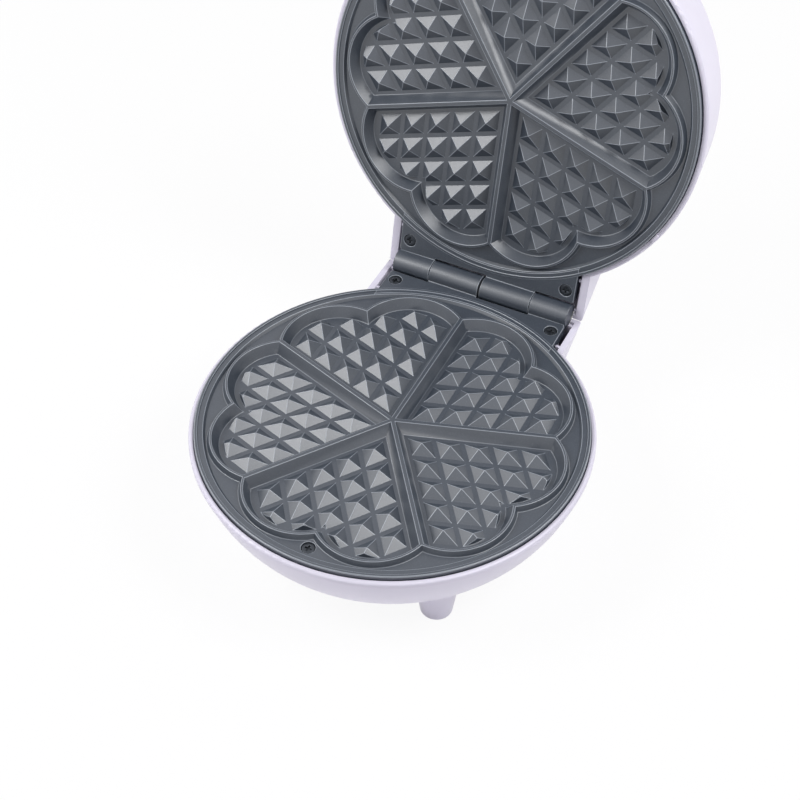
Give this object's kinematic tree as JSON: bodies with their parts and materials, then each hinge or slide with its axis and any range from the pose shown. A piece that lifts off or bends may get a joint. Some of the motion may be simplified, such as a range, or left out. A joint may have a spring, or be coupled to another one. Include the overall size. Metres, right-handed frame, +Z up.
{
  "type": "waffle maker",
  "caption": "Countertop waffle maker: a footed round bowl and a hinged drum lid, each holding a dark cast plate of hearts with pyramid floors.",
  "frame": {"origin": "on the worktop, under the middle of the lower plate", "axes": "+Z up, +Y back to the hinge, +X to the right of a person in front; the lid is stored open on its stop"},
  "size_m": [0.1964, 0.2941, 0.2858],
  "materials": {
    "lilac_plastic": "pale lilac moulded plastic, satin gloss",
    "coated_aluminium": "cast aluminium with a dark slate non-stick coating",
    "black_screw_steel": "black oxide steel",
    "hinge_steel": "plain steel",
    "heater_sheath_steel": "heat-tinted steel sheath",
    "terminal_steel": "plain steel",
    "white_ceramic": "unglazed white ceramic",
    "reflector_sheet": "bright rolled sheet",
    "plated_screw_steel": "zinc plated",
    "thermostat_resin": "dark moulded resin",
    "fuse_brass": "plain",
    "clip_steel": "plain spring steel",
    "lead_silicone": "white silicone insulation",
    "gland_rubber": "grey rubber",
    "red_lens_plastic": "clear red plastic",
    "green_lens_plastic": "clear green plastic",
    "lamp_glass": "clear glass"
  },
  "bodies": {
    "base": {"base_shell": "lilac_plastic", "lower_plate": "coated_aluminium", "lower_plate_screws": "black_screw_steel", "lower_heater": "heater_sheath_steel", "lower_heater_beads": "white_ceramic", "lower_heater_pins": "terminal_steel", "lower_reflector": "reflector_sheet", "lower_reflector_screws": "plated_screw_steel", "thermostat": "thermostat_resin", "thermostat_screws": "plated_screw_steel", "terminal_block": "white_ceramic", "terminal_block_screw": "plated_screw_steel", "heater_leads": "lead_silicone", "thermostat_leads": "lead_silicone", "cord_gland": "gland_rubber", "hinge_pin_right": "hinge_steel"},
    "lid": {"lid_shell": "lilac_plastic", "upper_plate": "coated_aluminium", "upper_plate_screws": "black_screw_steel", "upper_heater": "heater_sheath_steel", "upper_heater_beads": "white_ceramic", "upper_heater_pins": "terminal_steel", "upper_reflector": "reflector_sheet", "upper_reflector_screws": "plated_screw_steel", "thermal_fuse": "fuse_brass", "fuse_clip": "clip_steel", "fuse_clip_screws": "plated_screw_steel", "lid_handle": "lilac_plastic", "lid_handle_screws": "plated_screw_steel", "power_lens": "red_lens_plastic", "ready_lens": "green_lens_plastic", "power_lamp": "lamp_glass", "ready_lamp": "lamp_glass", "hinge_pin_left": "hinge_steel"}
  },
  "joints": [
    {"name": "lid_hinge", "type": "hinge", "parent": "base", "child": "lid", "pos_m": [0, 0.1044, 0.0578], "axis": [1, 0, 0], "range_deg": [0, 103]}
  ]
}
